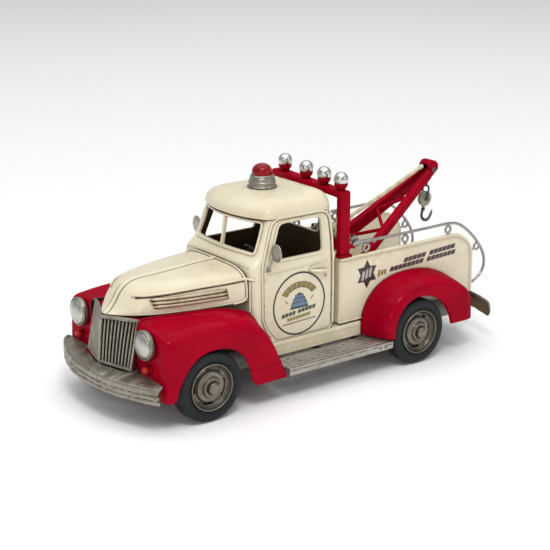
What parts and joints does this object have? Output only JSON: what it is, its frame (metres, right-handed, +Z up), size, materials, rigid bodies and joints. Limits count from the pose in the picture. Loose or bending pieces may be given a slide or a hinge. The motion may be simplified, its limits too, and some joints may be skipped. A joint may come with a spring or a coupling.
{
  "type": "toy tow truck",
  "caption": "Vintage-style toy tow truck in painted sheet metal, with a two-arm towing boom, rope and hook over an open bed, side rails, a lamp bar and a round beacon on the cab.",
  "frame": {"origin": "middle of the bounding box, on the floor that the tyres stand on", "axes": "+X towards the nose, +Y towards the truck's left side, +Z up"},
  "size_m": [0.323, 0.1328, 0.1493],
  "materials": {
    "cream_paint": "glossy cream enamel with brown wash in the seams",
    "red_paint": "glossy cherry red enamel",
    "pewter": "aged silver paint, brushed and browned in the hollows",
    "chrome": "bright plated metal",
    "lens_silver": "satin silver",
    "black_rubber": "smooth black rubber",
    "dark_steel": "dark bare steel",
    "grey_steel": "plain grey steel",
    "red_lens": "clear red gloss",
    "amber_lens": "orange-red gloss",
    "rope_fibre": "twisted natural cord",
    "bakelite": "black satin",
    "brown_wash": "dark brown paint",
    "block_grey": "grey-beige satin"
  },
  "bodies": {
    "truck": {"chassis": "grey_steel", "grille": "pewter", "front_bumper": "pewter", "rear_bumper": "pewter", "running_board_left": "pewter", "running_board_right": "pewter", "beacon_base": "pewter", "hood": "cream_paint", "hood_trim_left": "cream_paint", "hood_trim_right": "cream_paint", "hood_louvres_left": "cream_paint", "hood_louvres_right": "cream_paint", "sill_tray": "cream_paint", "cab_shell": "cream_paint", "cab_roof": "cream_paint", "bed": "cream_paint", "headlight_left": "lens_silver", "headlight_right": "lens_silver", "marker_light_left": "amber_lens", "marker_light_right": "amber_lens", "front_fender_left": "red_paint", "front_fender_right": "red_paint", "rear_fender_left": "red_paint", "rear_fender_right": "red_paint", "light_bar": "red_paint", "boom": "red_paint", "steering_wheel": "bakelite", "beacon_dome": "red_lens", "roof_lamp_1": "chrome", "roof_lamp_2": "chrome", "roof_lamp_3": "chrome", "roof_lamp_4": "chrome", "rail_left": "chrome", "rail_right": "chrome", "winch_frame": "brown_wash", "tow_rope": "rope_fibre"},
    "front_wheels": {"front_axle": "grey_steel", "tyre_front_left": "black_rubber", "tyre_front_right": "black_rubber", "rim_front_left": "pewter", "rim_front_right": "pewter", "hub_cap_front_left": "pewter", "hub_cap_front_right": "pewter"},
    "rear_wheels": {"rear_axle": "grey_steel", "tyre_rear_left": "black_rubber", "tyre_rear_right": "black_rubber", "rim_rear_left": "pewter", "rim_rear_right": "pewter", "hub_cap_rear_left": "pewter", "hub_cap_rear_right": "pewter"},
    "left_door": {"door_left": "cream_paint", "door_handle_left": "cream_paint", "mirror_left": "lens_silver"},
    "right_door": {"door_right": "cream_paint", "door_handle_right": "cream_paint", "mirror_right": "lens_silver"},
    "winch": {"winch_drum": "pewter"},
    "hanger": {"hook_hanger": "red_paint"},
    "block": {"hook_block": "block_grey"},
    "hook": {"tow_hook": "dark_steel"}
  },
  "joints": [
    {"name": "front_wheels_roll", "type": "hinge", "parent": "truck", "child": "front_wheels", "pos_m": [0.1045, 0, 0.024], "axis": [0, 1, 0], "continuous": true},
    {"name": "rear_wheels_roll", "type": "hinge", "parent": "truck", "child": "rear_wheels", "pos_m": [-0.0755, 0, 0.024], "axis": [0, 1, 0], "continuous": true},
    {"name": "left_door_hinge", "type": "hinge", "parent": "truck", "child": "left_door", "pos_m": [0.0465, 0.0406, 0.075], "axis": [0, 0, -1], "range_deg": [0, 65]},
    {"name": "right_door_hinge", "type": "hinge", "parent": "truck", "child": "right_door", "pos_m": [0.0465, -0.0406, 0.075], "axis": [0, 0, 1], "range_deg": [0, 65]},
    {"name": "winch_turn", "type": "hinge", "parent": "truck", "child": "winch", "pos_m": [-0.0431, 0, 0.0884], "axis": [0, 1, 0], "continuous": true},
    {"name": "hanger_swing", "type": "hinge", "parent": "truck", "child": "hanger", "pos_m": [-0.1377, 0, 0.1242], "axis": [0, 1, 0], "range_deg": [-12, 30]},
    {"name": "block_swing", "type": "hinge", "parent": "hanger", "child": "block", "pos_m": [-0.1345, 0, 0.1015], "axis": [0, 1, 0], "range_deg": [-40, 40]},
    {"name": "hook_swivel", "type": "hinge", "parent": "block", "child": "hook", "pos_m": [-0.13345, 0, 0.09407], "axis": [-0.1396, 0, 0.9902], "continuous": true}
  ]
}
